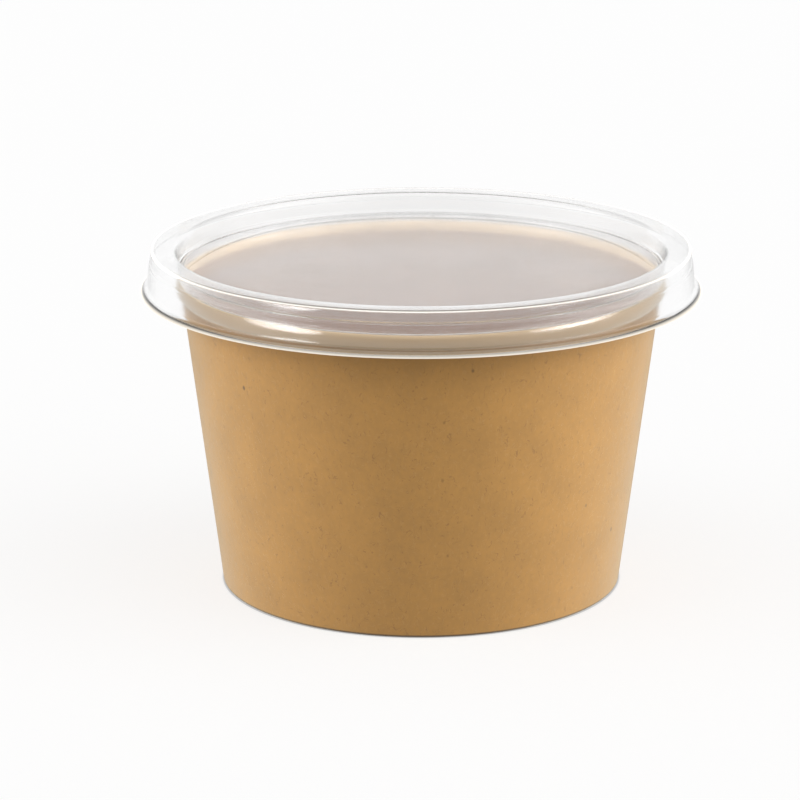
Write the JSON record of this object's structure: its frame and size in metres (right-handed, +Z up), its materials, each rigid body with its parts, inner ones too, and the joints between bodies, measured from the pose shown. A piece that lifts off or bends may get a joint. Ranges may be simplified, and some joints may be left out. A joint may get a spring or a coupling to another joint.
{
  "type": "takeaway soup container",
  "caption": "Round tapered kraft paper cup filled with smooth brown soup, closed by a clear plastic lid with a raised ring and a flared skirt.",
  "frame": {"origin": "middle of the foot, on the surface that the cup stands on", "axes": "+Z up along the cup's axis, -Y to the front, the side wall's lapped seam at +Y"},
  "size_m": [0.1334, 0.1334, 0.082],
  "materials": {
    "kraft_paper": "matt unbleached kraft board",
    "kraft_base": "matt unbleached kraft board",
    "soup": "smooth, wet and opaque",
    "clear_lid": "clear thermoformed film"
  },
  "bodies": {
    "root": {"cup_side_wall": "kraft_paper", "cup_base_disc": "kraft_base", "soup": "soup", "lid": "clear_lid"}
  },
  "joints": []
}
